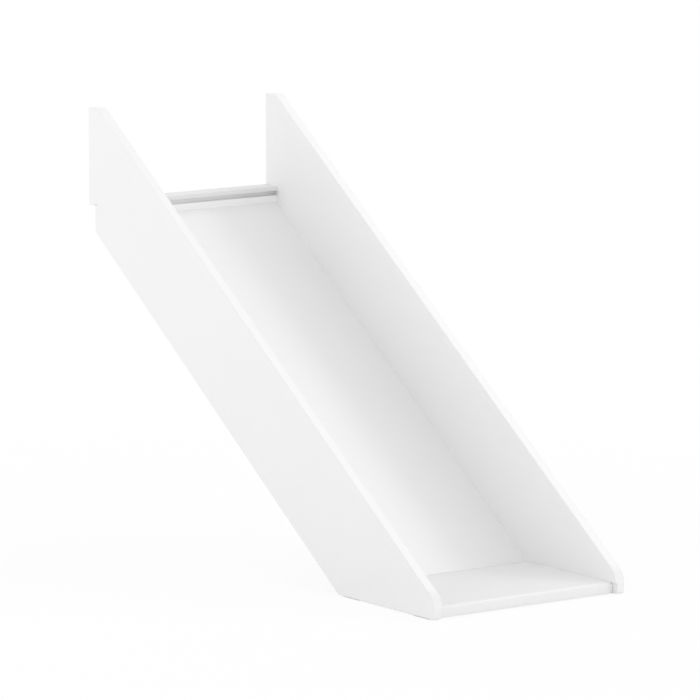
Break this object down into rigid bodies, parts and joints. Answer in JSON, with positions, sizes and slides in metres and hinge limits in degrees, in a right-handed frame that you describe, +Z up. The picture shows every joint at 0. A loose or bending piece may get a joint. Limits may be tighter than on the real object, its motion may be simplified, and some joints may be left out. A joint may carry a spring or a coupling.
{
  "type": "bed slide",
  "caption": "Straight children's slide that hooks over a bed's side rail: two white board cheeks, a panel housed between them, a flat run-out on the floor and a ledge over the rail.",
  "frame": {"origin": "floor level, at the centre of the slide's box", "axes": "+Z up, +Y towards the bed rail and the upper end, +X to the right of someone looking up the slide from its foot"},
  "size_m": [0.392, 1.005, 0.742],
  "materials": {
    "cheek_lacquer": "satin white lacquer on fibreboard",
    "slide_lacquer": "smooth semi-gloss white lacquer on fibreboard",
    "batten_primer": "thin matt white lacquer on solid wood battens",
    "cam_zinc": "die-cast zinc",
    "fastener_steel": "bright zinc-plated steel",
    "dowel_beech": "bare beech",
    "pad_rubber": "matt pale rubber"
  },
  "bodies": {
    "root": {"left_cheek": "cheek_lacquer", "right_cheek": "cheek_lacquer", "sliding_panel": "slide_lacquer", "run_out_panel": "slide_lacquer", "top_rail": "cheek_lacquer", "top_ledge": "cheek_lacquer", "upper_batten": "batten_primer", "middle_batten": "batten_primer", "lower_batten": "batten_primer", "cam_locks": "cam_zinc", "cam_bolts": "fastener_steel", "dowels": "dowel_beech", "panel_screws": "fastener_steel", "top_rail_screws": "fastener_steel", "ledge_dowels": "dowel_beech", "floor_pads": "pad_rubber"}
  },
  "joints": []
}
